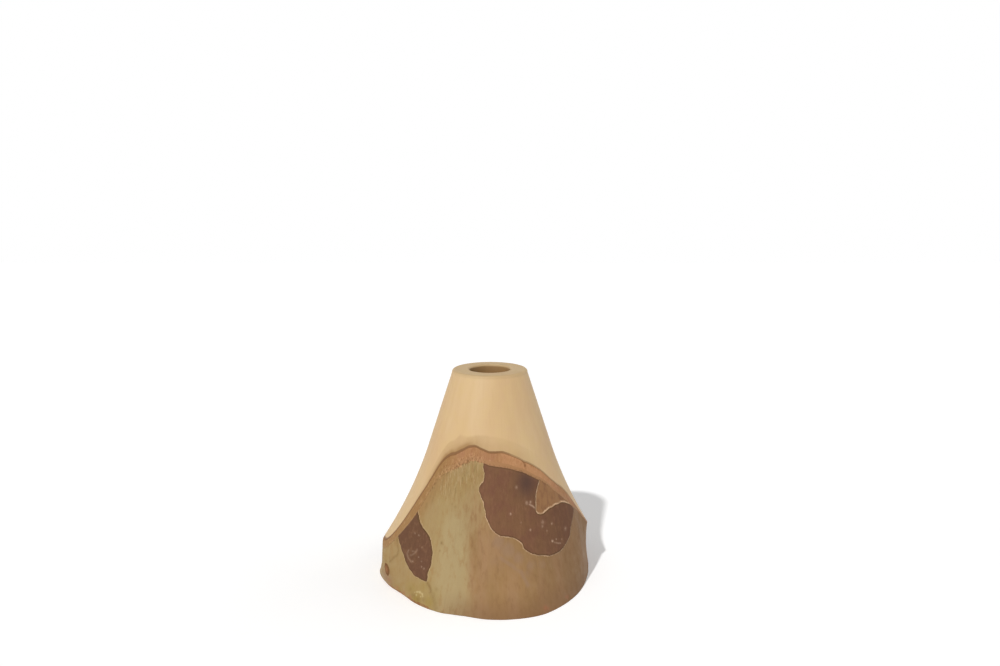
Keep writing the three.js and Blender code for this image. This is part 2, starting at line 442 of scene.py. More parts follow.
class Value:
    """A number in a shader, from which others are worked out."""

    def __init__(self, nodes, socket):
        self.nodes = nodes
        self.socket = socket

    def __add__(self, other):
        return self.nodes.calc("ADD", self, other)

    def __sub__(self, other):
        return self.nodes.calc("SUBTRACT", self, other)

    def __mul__(self, other):
        return self.nodes.calc("MULTIPLY", self, other)

    def step(self, low, high, at_high=1, at_low=0):
        """A smooth step from at_low to at_high, as the number goes from low to high."""
        ends = {"From_Min": low, "From_Max": high, "To_Min": at_low, "To_Max": at_high}
        smooth = {"interpolation_type": "SMOOTHSTEP"}
        made = self.nodes.node("MapRange", smooth, Value=self, **ends)
        return Value(self.nodes, made.outputs["Result"])


class Nodes:
    """A node tree, to which nodes are added one call at a time."""

    def __init__(self, tree):
        self.tree = tree
        tree.nodes.clear()

    def link(self, source, target):
        """Set an input to a plain number, vector or colour, or connect it. A node stands for
        its first output, and a name for the value of that name that the mesh carries."""
        if isinstance(source, str):
            source = self.value(source)
        if target.type == "RGBA" and isinstance(source, tuple):
            source = colour(*source)
        source = getattr(source, "socket", source)
        source = getattr(source, "outputs", [source])[0]
        if hasattr(source, "is_output"):
            self.tree.links.new(source, target)
        else:
            target.default_value = source

    def node(self, kind, settings=None, **inputs):
        made = self.tree.nodes.new("ShaderNode" + kind)
        for key, value in (settings or {}).items():
            setattr(made, key, value)
        for key, value in inputs.items():
            self.link(value, made.inputs[key.replace("_", " ")])
        return made

    def link_all(self, made, *sources):
        """Link the first inputs of a node, in their order."""
        for source, target in zip(sources, made.inputs):
            self.link(source, target)
        return made

    def calc(self, operation, *numbers):
        made = self.link_all(self.node("Math", {"operation": operation}), *numbers)
        return Value(self, made.outputs[0])

    def value(self, name):
        """A value that the mesh carries."""
        return Value(self, self.node("Attribute", {"attribute_name": name}).outputs["Fac"])

    def seen_ray(self):
        """1 for what the camera sees, directly or in glass."""
        path = self.node("LightPath").outputs
        glass = self.calc("MAXIMUM", path["Is Glossy Ray"], path["Is Transmission Ray"])
        return self.calc("MAXIMUM", path["Is Camera Ray"], glass)


class Finish(Nodes):
    """A material."""

    def __init__(self, name, roughness, specular):
        self.material = bpy.data.materials.new(name)
        self.material.use_nodes = True
        super().__init__(self.material.node_tree)
        inputs = {"Roughness": roughness, "Specular_IOR_Level": specular}
        self.surface = self.node("BsdfPrincipled", **inputs)
        self.node("OutputMaterial", Surface=self.surface)

    def layers(self, base, *layers):
        """A colour with others laid over it, each by a number from 0 to 1."""
        for factor, layer in layers:
            made = self.node("Mix", {"data_type": "RGBA"})
            for socket, value in ((0, factor), (6, base), (7, layer)):
                self.link(value, made.inputs[socket])
            base = made.outputs[2]
        return base

    def place(self, stretch=(1, 1, 1), turn=(0, 0, 0), shift=(0, 0, 0)):
        """Place in the object, turned and then stretched."""
        coords = self.node("TexCoord").outputs["Object"]
        turned = self.node("Mapping", Vector=coords, Rotation=turn, Location=shift)
        return self.node("Mapping", Vector=turned, Scale=stretch)

    def along_bark(self, stretch):
        """Place on a straight cylinder about the axis, so that streaks run up the trunk."""
        parts = self.node("SeparateXYZ", Vector=self.node("TexCoord").outputs["Object"]).outputs
        flat = self.node("CombineXYZ", X=parts[0], Y=parts[1])
        unit = self.node("VectorMath", {"operation": "NORMALIZE"}, Vector=flat)
        round_ = self.node("VectorMath", {"operation": "SCALE"}, Scale=UNROLL_RADIUS * MM)
        joined = self.node("VectorMath", {"operation": "ADD"})
        level = self.node("CombineXYZ", Z=parts[2])
        self.link_all(joined, self.link_all(round_, unit), level)
        return self.node("Mapping", Vector=joined, Scale=(1, 1, stretch))

    def noise(self, vector, size, detail=3, roughness=0.5):
        """Noise from 0 to 1 whose features are about that many millimetres across."""
        inputs = {"Scale": 1 / (size * MM), "Detail": detail, "Roughness": roughness}
        return Value(self, self.node("TexNoise", Vector=vector, **inputs).outputs["Fac"])

    def bark_noise(self, size, stretch, detail=3, roughness=0.5):
        """Noise that is drawn out up the trunk where stretch is less than 1."""
        return self.noise(self.along_bark(stretch), size, detail, roughness)

    def bump(self, height, distance, normal=None):
        """Relief of that many millimetres."""
        inputs = {} if normal is None else {"Normal": normal}
        return self.node("Bump", Height=height, Distance=distance * MM, **inputs)

    def finish(self, base, normal=None, roughness=None):
        for name, value in (("Base Color", base), ("Normal", normal), ("Roughness", roughness)):
            if value is not None:
                self.link(value, self.surface.inputs[name])
        return self.material


# The pith runs up and back from the middle of the foot, as the trunk leans.
PITH_LEAN = 15
PITH_SHIFT = (0.004, -0.006, 0)
ALONG_GRAIN = (1, 1, 0.06)
RING_WIDTH = 2.6
RING_WANDER = 2.2


def turned_wood():
    """Pale close-grained wood, sanded and oiled."""
    wood = Finish("turned_wood", 0.55, 0.35)
    lean = (math.radians(PITH_LEAN), 0, 0)
    rings_at = wood.place((1, 1, 0.001), lean, PITH_SHIFT)
    distance = wood.node("VectorMath", {"operation": "LENGTH"}, Vector=rings_at)
    distance = Value(wood, distance.outputs["Value"])
    wander = wood.noise(wood.place((1, 1, 0.25), lean), 18, 2)
    phase = (distance * (1 / (RING_WIDTH * MM)) + wander * RING_WANDER) * math.tau
    rings = wood.calc("SINE", phase) * 0.5 + 0.5
    fibres = wood.noise(wood.place(ALONG_GRAIN, lean, PITH_SHIFT), 1.1, 5, 0.65)
    broad = wood.noise(wood.place((1, 1, 0.35), lean), 22, 2)
    tone = wood.noise(wood.place((1, 1, 0.8)), 8, 3, 0.6)
    patchy = wood.noise(wood.place((1, 1, 0.7)), 5).step(0.3, 0.7, 1.15, 0.85)
    ridges = wood.noise(wood.place((0.02, 0.02, 1)), 0.6, 2)
    edge = wood.value("above_edge")
    line = edge.step(-1.4, -0.4) * edge.step(1, 0.2)
    base = wood.layers(
        WOOD_LIGHT,
        (broad.step(0.3, 0.7), WOOD_WARM),
        (tone.step(0.4, 0.65, 0.4), WOOD_GOLD),
        (rings * 0.12, WOOD_RING),
        (fibres.step(0.45, 0.75, 0.17), WOOD_RING),
        (patchy * wood.value("stain"), WOOD_STAIN),
        (line * wood.value("edge_depth"), EDGE_LINE),
        # Darker end grain, and painted shade over the rim's outer rounding.
        (wood.value("end_grain_and_rim_shade") * 0.55, WOOD_END_AND_RIM_SHADE),
        # Painted shade: the wall of the bore is darkened.
        ("painted_bore_shade", BORE_PAINTED_SHADE),
    )
    normal = wood.bump(fibres, 0.06, wood.bump(ridges, 0.03))
    return wood.finish(base, normal, fibres.step(0.3, 0.8, 0.66, 0.5))


def inner_bark():
    """Rusty inner bark, cut smooth by the lathe."""
    bark = Finish("inner_bark", 0.7, 0.25)
    fibres = bark.bark_noise(0.8, 0.12, 4, 0.6)
    patches = bark.bark_noise(7, 0.6, 3, 0.55)
    crumbs = bark.bark_noise(1.1, 0.7, 3, 0.6)
    blotches = bark.bark_noise(2.6, 0.9, 3, 0.6)
    frayed = bark.value("frayed") * 0.9 + 0.12
    line = (patches + bark.value("left_side")) * -0.5 + bark.value("below_edge")
    base = bark.layers(
        BARK_ORANGE,
        (patches.step(0.35, 0.65), BARK_PINK),
        ("right_side", BARK_AMBER),
        ("left_side", BARK_OCHRE),
        (blotches.step(0.52, 0.72, 0.4), BARK_RUST),
        (blotches.step(0.46, 0.3, 0.4), BARK_CRUMB),
        (fibres.step(0.5, 0.75, 0.35), BARK_RUST),
        (crumbs.step(0.54, 0.62) * frayed, BARK_BURNT),
        (crumbs.step(0.44, 0.36) * frayed, BARK_CRUMB),
        (line.step(0.35, -0.1, 0.8), EDGE_LINE),
        ("dots", BARK_BURNT),
    )
    return bark.finish(base, bark.bump(fibres, 0.12, bark.bump(blotches, 0.15)))


def smooth_bark():
    """Young smooth bark, olive to brown, with its inner bark showing where it is cut."""
    bark = Finish("smooth_bark", 0.62, 0.35)
    streaks = bark.bark_noise(1.6, 0.06, 4, 0.6)
    broad = bark.bark_noise(11, 0.22)
    patches = bark.bark_noise(14, 0.6, 3, 0.55)
    mottle = bark.bark_noise(3.2, 0.5, 4, 0.6)
    fine = bark.bark_noise(0.55, 0.35, 3, 0.6)
    lines = bark.bark_noise(1.3, 0.16, 4, 0.65)
    crumbs = bark.bark_noise(1.1, 0.7, 3, 0.6)
    sway = mottle - 0.5
    near_arch, flecked, tongue = (bark.value(v) for v in ("near_arch", "flecked", "tongue"))
    left = bark.layers(
        BARK_OLIVE,
        (patches.step(0.4, 0.65, 0.6), BARK_GOLD),
        ("pale_band", BARK_PALE),
        (mottle.step(0.5, 0.7, 0.4), BARK_OCHRE),
        (mottle.step(0.48, 0.3, 0.35), BARK_PALE),
    )
    right = bark.layers(
        BARK_TAN,
        (broad.step(0.35, 0.65), BARK_ROSE),
        (patches.step(0.45, 0.65, 0.4), BARK_OCHRE),
        (mottle.step(0.5, 0.7, 0.35), BARK_UMBER),
        (mottle.step(0.46, 0.3, 0.4), BARK_ROSE),
        # Painted shade: the right side and the back are darkened with umber.
        ("painted_shade_and_darker_tone", BARK_UMBER),
    )

    # The pale margin round the flakes, the worn edge at the foot, and the frayed cut
    rim = (fine * 2.2 + tongue * -0.35 + bark.value("flake_gap")).step(1.95, 1.15)
    rim = rim * bark.value("rim_side") * mottle.step(0.4, 0.54, 1.15, 0.4)
    worn = (sway * 0.9 + bark.value("worn")).step(0.3, 0.6) * lines.step(0.4, 0.6, 0.35, 0.9)
    cut = sway * bark.value("fringe") + bark.value("cut")
    at_edge = cut.step(-1.2, -0.2) * cut.step(0.9, 0.2)
    frayed = bark.value("frayed") * mottle.step(0.3, 0.55, 1, 0.3)
    dark = bark.calc("MAXIMUM", at_edge, frayed) * crumbs.step(0.5, 0.58, 0.7)
    base = bark.layers(
        left,
        ((sway * 0.9 + bark.value("tan_side")).step(-0.05, 1.05), right),
        (streaks.step(0.5, 0.78, 0.14), BARK_UMBER),
        (streaks.step(0.45, 0.25, 0.14), BARK_PALE),
        (near_arch, BARK_OCHRE),
        (mottle.step(0.48, 0.62, 0.55) * near_arch, BARK_GREEN),
        (lines.step(0.53, 0.63) * flecked, BARK_GREEN),
        (lines.step(0.46, 0.36) * flecked, BARK_STRAW),
        (tongue, bark.layers(TONGUE_TAN, (mottle.step(0.4, 0.7), TONGUE_BROWN))),
        # Painted shade: darker near the floor, from the front round to the right and the back.
        (bark.value("painted_foot_shade") * 0.62, BARK_UMBER),
        ("lichen", BARK_LICHEN),
        (fine.step(0.58, 0.7, 0.6) * flecked, BARK_FLECK),
        ("knot_halo", BARK_HALO),
        (fine.step(0.3, 0.6, 1.1, 0.6) * bark.value("marks"), BARK_MARK),
        ("pale_marks", BARK_SCRATCH),
        ("rust", BARK_RED),
        ((sway * 0.8 + bark.value("rosy")).step(0.2, 0.8, 0.75), BARK_HALO),
        (rim, BARK_RIM),
        (worn, bark.layers(BARK_RUST, (fine.step(0.45, 0.65), BARK_BURNT))),
        (cut.step(-0.15, 0.15), bark.layers(BARK_ORANGE, ("left_side", BARK_OCHRE))),
        (dark, BARK_FLECK),
        (crumbs.step(0.46, 0.38, 0.7) * frayed, BARK_CRUMB),
    )
    normal = bark.bump(streaks, 0.1, bark.bump(mottle, 0.12, bark.bump(fine, 0.06)))
    return bark.finish(base, normal, mottle.step(0.3, 0.7, 0.72, 0.56))


def old_bark():
    """Dull brown flakes of old outer bark, with pale specks."""
    flake = Finish("old_bark", 0.8, 0.25)
    streaks = flake.bark_noise(1.5, 0.12, 4, 0.65)
    broad = flake.bark_noise(9, 0.75)
    mottle = flake.bark_noise(2.6, 0.6, 4, 0.6)
    fine = flake.bark_noise(0.5, 0.5, 3, 0.6)
    cut = (fine - 0.5) * 0.7 + flake.value("cut")
    base = flake.layers(
        FLAKE_BROWN,
        (broad.step(0.35, 0.65), FLAKE_RED),
        # Painted shade darkens the right of the flakes; the left flake's darker tone is its own
        # colour.
        ("painted_shade_and_darker_tone", FLAKE_DARK),
        (mottle.step(0.5, 0.7, 0.35), FLAKE_LIGHT),
        (mottle.step(0.47, 0.3, 0.3), FLAKE_DARK),
        (streaks.step(0.5, 0.75, 0.22), FLAKE_LIGHT),
        (streaks.step(0.45, 0.25, 0.22), FLAKE_DARK),
        ("smudge", FLAKE_SMUDGE),
        (fine.step(0.34, 0.54, 1.25, 0.25) * flake.value("specks"), FLAKE_SPECK),
        # Painted shade: a dark band just inside the flake's broken edge; below, a dark line under
        # the lathe's cut.
        ((fine * 0.9 + flake.value("flake_gap")).step(1.5, 0.6, 0.75), FLAKE_EDGE_SHADE_AND_CUT_LINE),
        (cut.step(-0.9, -0.1, 0.7) * cut.step(0.3, 0), FLAKE_EDGE_SHADE_AND_CUT_LINE),
        (cut.step(0, 0.25), BARK_PINK),
    )
    normal = flake.bump(streaks, 0.12, flake.bump(fine, 0.1, flake.bump(broad, 0.3)))
    return flake.finish(base, normal)


def knot_wood():
    """Red-brown end of a dead twig, with a darker ring and a pale heart."""
    knot = Finish("knot_wood", 0.75, 0.25)
    fine = knot.noise(knot.place(), 0.5, 4, 0.6)
    patches = knot.noise(knot.place(), 1.6)
    out = (patches - 0.5) * 0.5 + knot.value("from_heart")
    base = knot.layers(
        KNOT_BROWN,
        (patches.step(0.3, 0.7), KNOT_RED),
        (out.step(0.45, 0.1, 0.7), KNOT_HEART),
        (out.step(0.45, 0.75, 0.6) * out.step(1.1, 0.9), KNOT_DARK),
        (fine.step(0.55, 0.7, 0.45), KNOT_DARK),
    )
    return knot.finish(base, knot.bump(fine, 0.25))


def tube_glass():
    """Thin clear glass, with the faint film that water leaves."""
    glass = Finish("tube_glass", 0.02, 0.5)
    for name, value in (("IOR", 1.5), ("Transmission Weight", 1), ("Alpha", 0.5)):
        glass.surface.inputs[name].default_value = value
    film = glass.noise(glass.place((1, 1, 0.15)), 6)
    base = glass.layers(GLASS_CLEAR, (film.step(0.4, 0.7), GLASS_TINT))
    return glass.finish(base, None, film.step(0.45, 0.75, 0.06, 0.01))


# Colours as they are seen on a screen

WOOD_LIGHT = (208, 178, 134)
WOOD_WARM = (204, 170, 126)
WOOD_GOLD = (207, 177, 124)
WOOD_RING = (194, 158, 112)
WOOD_STAIN = (162, 126, 80)
WOOD_END_AND_RIM_SHADE = (170, 145, 103)
EDGE_LINE = (121, 81, 43)
BORE_PAINTED_SHADE = (151, 114, 69)
BARK_ORANGE = (163, 118, 77)
BARK_PINK = (166, 118, 84)
BARK_RUST = (145, 94, 56)
BARK_BURNT = (116, 74, 40)
BARK_RED = (158, 92, 62)
BARK_AMBER = (181, 132, 90)
BARK_OCHRE = (152, 115, 69)
BARK_OLIVE = (157, 130, 85)
BARK_PALE = (164, 142, 99)
BARK_TAN = (143, 110, 68)
BARK_ROSE = (153, 117, 80)
BARK_UMBER = (120, 86, 53)
BARK_GOLD = (156, 129, 77)
BARK_GREEN = (134, 111, 68)
BARK_STRAW = (172, 146, 104)
BARK_CRUMB = (196, 151, 108)
BARK_HALO = (147, 116, 87)
BARK_LICHEN = (147, 124, 55)
BARK_FLECK = (116, 82, 46)
BARK_MARK = (118, 88, 42)
BARK_RIM = (203, 168, 132)
BARK_SCRATCH = (204, 184, 132)
TONGUE_TAN = (145, 104, 64)
TONGUE_BROWN = (127, 87, 57)
FLAKE_BROWN = (119, 84, 57)
FLAKE_RED = (116, 78, 57)
FLAKE_DARK = (94, 64, 45)
FLAKE_LIGHT = (135, 97, 69)
FLAKE_SPECK = (206, 174, 146)
FLAKE_SMUDGE = (84, 60, 50)
FLAKE_EDGE_SHADE_AND_CUT_LINE = (92, 66, 38)
KNOT_BROWN = (132, 92, 53)
KNOT_RED = (138, 90, 57)
KNOT_HEART = (150, 104, 68)
KNOT_DARK = (98, 70, 36)
GLASS_CLEAR = (252, 255, 254)
GLASS_TINT = (240, 248, 245)
FLOOR_COLOUR = (247, 247, 247)
WHITE = (255, 255, 255)

# Wood

wood_foot = wood_radius(ANGLES, 0)
wood_edge = cut_height(wood_radius, ANGLES, 0)
bark_top = cut_height(wood_radius, ANGLES)
shoulder = VASE_HEIGHT - RIM_ROUNDING
side_angle = math.degrees(math.atan(SIDE_SLOPE))
rim_centre = turned_radius(shoulder) - RIM_ROUNDING * math.cos(math.radians(side_angle))

base_rows = 12
rows = [at(ANGLES, wood_foot * f, 0) for f in fractions(base_rows)]
for top, bottom, count in ((bark_top, 0, HIDDEN_ROWS), (wood_edge, bark_top, 3)):
    for f in fractions(count):
        height = bottom + (top - bottom) * f
        rows.append(at(ANGLES, wood_radius(ANGLES, height), height))
edge_row = len(rows) - 1
for f in fractions(CONE_ROWS):
    height = wood_edge + (shoulder - wood_edge) * f
    rows.append(at(ANGLES, turned_radius(height), height))
rows += turned(arc(rim_centre, shoulder, RIM_ROUNDING, side_angle, 90))
rim_row = len(rows) - 1
mouth_radius = BORE_RADIUS + MOUTH_ROUNDING
mouth_height = VASE_HEIGHT - MOUTH_ROUNDING
inwards = mouth_radius - rim_centre
rows += turned((rim_centre + inwards * f, VASE_HEIGHT) for f in fractions(6))
rows += turned(arc(mouth_radius, mouth_height, MOUTH_ROUNDING, 90, 180))
mouth_row = len(rows) - 1
down = BORE_FLOOR - mouth_height
rows += turned((BORE_RADIUS, mouth_height + down * f) for f in fractions(HIDDEN_ROWS))
floor_row = len(rows) - 1
rows += turned((BORE_RADIUS * f, BORE_FLOOR) for f in (0.75, 0.5, 0.25))
rows = np.array(rows)

heights = rows[:, :, 2]
row_number = np.arange(len(rows))[:, None]
on_cone = row_number > edge_row
far_from_edge = 60
above_edge = heights - wood_edge
above_edge *= np.where(on_cone & (above_edge >= 0), ALONG_SIDE, ~on_cone)
above_edge = np.where(row_number > rim_row, far_from_edge, above_edge)

# The stain above the arch ends at a line like one of the log's rings, in front.
STAIN_TOP = 103.5
STAIN_MIDDLE = -8
STAIN_DROP = 6.5
STAIN_SPAN = 38
STAIN_HEIGHT = 9
front_angle = signed(ANGLES)
stain_line = STAIN_TOP - STAIN_DROP * ((front_angle - STAIN_MIDDLE) / STAIN_SPAN) ** 2
stain_line = np.minimum(stain_line, wood_edge + STAIN_HEIGHT)
stain_line += 1.5 * rough(ANGLES, 0, 70, 10, 61) * blend(front_angle, -12, -24)
in_front = blend(np.abs(front_angle - STAIN_MIDDLE), 66, 36)
in_front *= 0.5 + 0.5 * blend(front_angle, 14, -14)
beside = 0.5 * blend(above_edge, 4.5, 0.5) * blend(front_angle, -12, -26)
stain = 0.28 + 0.34 * blend(above_edge, 8, 0.5) + beside
stain = blend(stain_line - heights, -0.4, 1.4) * stain * in_front
stain = stain * on_cone * (row_number <= rim_row)
# Darker end grain on the top and under the foot; over the rim's outer rounding and a little below
# it the same colour is painted shade that tones down the lit edge.
end_grain_and_rim_shade = span(row_number, rim_row - 12, rim_row - 2, mouth_row - 2, mouth_row + 6)
end_grain_and_rim_shade = np.maximum(end_grain_and_rim_shade, row_number < base_rows)

wood_mesh = mesh_of_rows(
    "turned_wood",
    rows,
    {
        "above_edge": above_edge * (1.3 - 0.6 * span(front_angle, -150, -90, -25, 15)),
        "edge_depth": 0.92 - 0.32 * blend(front_angle, 6, 26),
        "stain": stain,
        "end_grain_and_rim_shade": end_grain_and_rim_shade,
        # Painted shade inside the bore.
        "painted_bore_shade": blend(row_number, mouth_row - 4, mouth_row + 2),
    },
    start=(0, 0, 0),
    end=(0, 0, BORE_FLOOR),
    sharp_rows=(base_rows - 1, edge_row, floor_row),
)
add_piece("turned_wood", wood_mesh, "vase", "wood_body", turned_wood())

# Bark


def all_marks(angles, heights, spots, strokes=()):
    """Soft spots, by angle, height, size and depth, and lines, by points, width and depth."""
    drawn = np.zeros(np.shape(heights))
    for angle, height, size, depth in spots:
        gap = np.hypot(unroll(angles - angle), heights - height)
        drawn = np.maximum(drawn, depth * bump(gap, 0, size))
    for points, width, depth in strokes:
        line = [np.array((unroll(angle), height)) for angle, height in points]
        gap = distance_to(line, unroll(angles), heights)
        drawn = np.maximum(drawn, depth * bump(gap, 0, width))
    return np.clip(drawn, 0, 1)


def bark_rows(inner, inner_top, outer, outer_heights):
    """Rows of one layer of bark: under the foot, up the outside, over the cut, back down."""
    outer_top = outer_heights[-1]
    made = [at(ANGLES, inner(ANGLES, 0), 0)] + turned(zip(outer, outer_heights))
    for f in fractions(CUT_ROWS):
        height = outer_top + (inner_top - outer_top) * f
        made.append(at(ANGLES, turned_radius(height) - CUT_STEP, height))
    for f in fractions(HIDDEN_ROWS)[:-1]:
        height = inner_top * (1 - f)
        made.append(at(ANGLES, inner(ANGLES, height), height))
    return np.array(made)


# Inner bark

left_side = span(front_angle, -160, -110, -46, -20)
middle_top = cut_height(middle_radius, ANGLES)
skin_top = cut_height(skin_radius, ANGLES)
levels = middle_top * np.linspace(0, 1, HIDDEN_ROWS)[:, None]
rows = bark_rows(wood_radius, bark_top, middle_radius(ANGLES, levels), levels)
heights = rows[:, :, 2]
frayed_span = span(front_angle, -52, -44, -8, 0)
BAND_DOTS = (
    (32.1, 84.4, 0.9, 0.9), (35.5, 86.2, 0.6, 0.5), (-8, 93.5, 0.5, 0.5), (8.5, 87.5, 0.4, 0.5),
)
BAND_CRACKS = ((((29.3, 88.2), (31, 86.4), (32.1, 84.4)), 0.45, 0.7),)
inner_mesh = mesh_of_rows(
    "inner_bark",
    rows,
    {
        "below_edge": (bark_top - heights) * ALONG_SIDE,
        "left_side": left_side,
        "right_side": span(front_angle, 4, 18, 45, 70),
        "frayed": 0.5 * blend(heights - middle_top, 2.2, 0.2) * frayed_span,
        "dots": all_marks(front_angle + 0 * heights, heights, BAND_DOTS, BAND_CRACKS),
    },
    sharp_rows=(0, 1, HIDDEN_ROWS, HIDDEN_ROWS + CUT_ROWS),
)
add_piece("inner_bark", inner_mesh, "vase", "inner_bark", inner_bark())

# Smooth bark

right_outline = flake_outline(RIGHT_FLAKE_OUTLINE, RIGHT_FLAKE_ANGLE, 31)
left_outline = flake_outline(LEFT_FLAKE_OUTLINE, LEFT_FLAKE_ANGLE, 32)

worn_span = span(front_angle, WORN_FROM - 8, WORN_FROM + 8, WORN_TO - 8, WORN_TO + 8)
worn_span = worn_span * (0.75 + 0.25 * rough(ANGLES, 0, 70, 10, 41))
chamfer = FOOT_CHAMFER + WORN_CHAMFER * worn_span


foot_levels = np.array((0, 0.15, 0.3, 0.5, 0.75, 1.05, 1.4, 1.8))[:, None] + 0 * ANGLES
higher = foot_levels[-1] + (skin_top - foot_levels[-1]) * fractions(SKIN_ROWS - 1)[:, None]
levels = np.vstack([foot_levels, higher])
unrolled = unroll(front_angle) + 0 * levels
# Distances from a flake are only worked out near it.
NEAR_FLAKE = 8
FAR_FROM_FLAKE = 20.0
flake_gap = np.full(levels.shape, FAR_FROM_FLAKE)
for outline in (right_outline, left_outline):
    low, high = outline.min(axis=0) - NEAR_FLAKE, outline.max(axis=0) + NEAR_FLAKE
    near = (unrolled > low[0]) & (unrolled < high[0]) & (levels > low[1]) & (levels < high[1])
    gap = distance_to(outline, unrolled[near], levels[near])
    flake_gap[near] = np.minimum(flake_gap[near], gap)
lip = LIP_HEIGHT * bump(flake_gap, 0, LIP_WIDTH) * blend(skin_top - levels, 0, 1.5)
outer = skin_radius(ANGLES, levels) - CHAMFER_SLOPE * np.maximum(0, chamfer - levels) + lip
rows = bark_rows(middle_radius, middle_top, outer, levels)
heights = rows[:, :, 2]
angle_grid = front_angle + 0 * heights

# Cracks and dark spots, as angle and height, with their width and depth of colour.
DARK_SPOTS = (
    (-35, 38.1, 1.1, 0.6), (-38.6, 12.6, 0.8, 0.45), (-37.5, 9.3, 0.9, 0.45),
    (-27.5, 60.2, 0.9, 0.35), (-35.7, 33.5, 0.6, 0.5), (36.9, 4.8, 0.8, 0.4),
    (-30.2, 61.8, 0.7, 0.3), (-41, 4.2, 1.6, 0.35), (-27.6, 0.7, 0.8, 0.5), (-31.1, 2.1, 0.7, 0.4),
    (39.5, 8.5, 0.5, 0.35), (-49.3, 3.7, 2.2, 0.45), (-45.2, 3.2, 1.8, 0.5),
    (-52.5, 6.5, 1.4, 0.3), (-33.5, 12, 1.3, 0.25), (-71.8, 17.4, 1.1, 0.35),
)
DARK_STROKES = (
    (((-66.2, 35.1), (-63.6, 27.1), (-64.4, 24), (-66, 22.4), (-68.6, 18.3)), 0.7, 0.45),
    (((-40.4, 13.6), (-38.3, 11.9), (-36.8, 9.8)), 1.0, 0.6),
    (((-35.6, 8.6), (-33.4, 5.1), (-32, 1.5)), 1.7, 0.38),
)
PALE_SPOTS = (
    (-46.9, 6.9, 0.5, 0.7), (-44.9, 7.3, 0.6, 0.8), (-42.9, 6.8, 0.5, 0.7), (-47.1, 5, 0.5, 0.6),
    (-43.6, 5.2, 0.4, 0.6), (-48.8, 6, 0.4, 0.4), (-44.6, 18.5, 0.5, 0.5), (-41.5, 15.5, 0.5, 0.3),
)
PALE_STROKES = ((((-47.6, 6.6), (-45.5, 7.4), (-42.9, 7), (-42.2, 5.6)), 0.35, 0.55),)
RUST_SPOTS = (
    (32.5, 3.1, 1.4, 0.45), (34, 2.4, 0.9, 0.4), (50.3, 2.9, 1.0, 0.4), (49, 3.6, 0.7, 0.35),
    (-58, 2.2, 1.2, 0.5), (-64, 3, 1.4, 0.4), (-52, 2, 1.2, 0.5), (-70, 5, 1.6, 0.35),
)

# The bark changes from olive to tan along a line that leans to the right as it goes down.
TAN_LINE_FOOT = -10.2
TAN_LINE_LEAN = -0.145
tan_line = TAN_LINE_FOOT + TAN_LINE_LEAN * heights + 1.3 * rough(angle_grid, heights, 24, 11, 52)
softness = 3.6 + 8 * blend(heights, 30, 62) + 5 * blend(heights, 16, 0)
tan_side = np.clip((angle_grid - tan_line) / softness / 2 + 0.5, 0, 1)
wavy_heights = heights + 5 * rough(angle_grid, heights, 40, 16, 51)
tan_side = tan_side * (1 - 0.8 * blend(wavy_heights, 40, 74) * blend(angle_grid, 16, -2))
at_back = blend(angle_grid, -105, -145)
tan_side = np.maximum(tan_side, at_back)
pale_band = bump(angle_grid, -27, 9) * blend(heights, 62, 45)
pale_band += 0.5 * bump(angle_grid, -20, 22) * blend(heights, 75, 55)
near_top = skin_top - heights
near_arch = 0.8 * blend(angle_grid, -28, -42) * blend(near_top, 19, 3) * blend(heights, 25, 45)
tongue = span(angle_grid, 34, 38, 70, 80) * blend(heights, 51, 56)
flecked = 0.8 * span(near_top, 0, 5, 9, 25) * span(angle_grid, -50, -38, -12, -2)
foot_streaks = 0.6 * blend(heights, 8, 1) * span(angle_grid, -34, -24, -16, -8)
LICHEN_SPOTS = (
    (-46.5, 2.5, 4, 0.75), (-52, 7, 5, 0.42), (-63, 3, 4, 0.3),
    (-37, 4, 5, 0.6), (-43, 11, 5, 0.35), (-34, 9, 4, 0.3),
)
# Paler, rosier places under the right flake, and beside them at the foot a darker lower right
# corner, which joins the painted shade of the right side.
ROSY_SPOTS = (
    (7, 42, 5, 0.8), (13, 37, 5.5, 0.9), (20, 32, 4.5, 0.75), (28, 27, 4, 0.65),
    (36, 26, 4, 0.55), (24, 23, 3.5, 0.45), (60, 33, 4, 0.4), (3, 31, 4, 0.4),
)
ROSY_STROKES = ((((8, 33), (15, 28.5), (21, 24), (24, 17)), 1.8, 0.7),)
corner_line = 19 + 0.68 * heights
dark_corner = 0.35 * blend(angle_grid, corner_line - 4, corner_line + 4) * blend(heights, 42, 28)
# The frayed margin in front shows the inner bark a little under the cut.
FRAYED_DROP = 1.3
frayed_drop = FRAYED_DROP * span(front_angle, -56, -44, -14, 3)
cut = (heights - skin_top + frayed_drop) * ALONG_SIDE

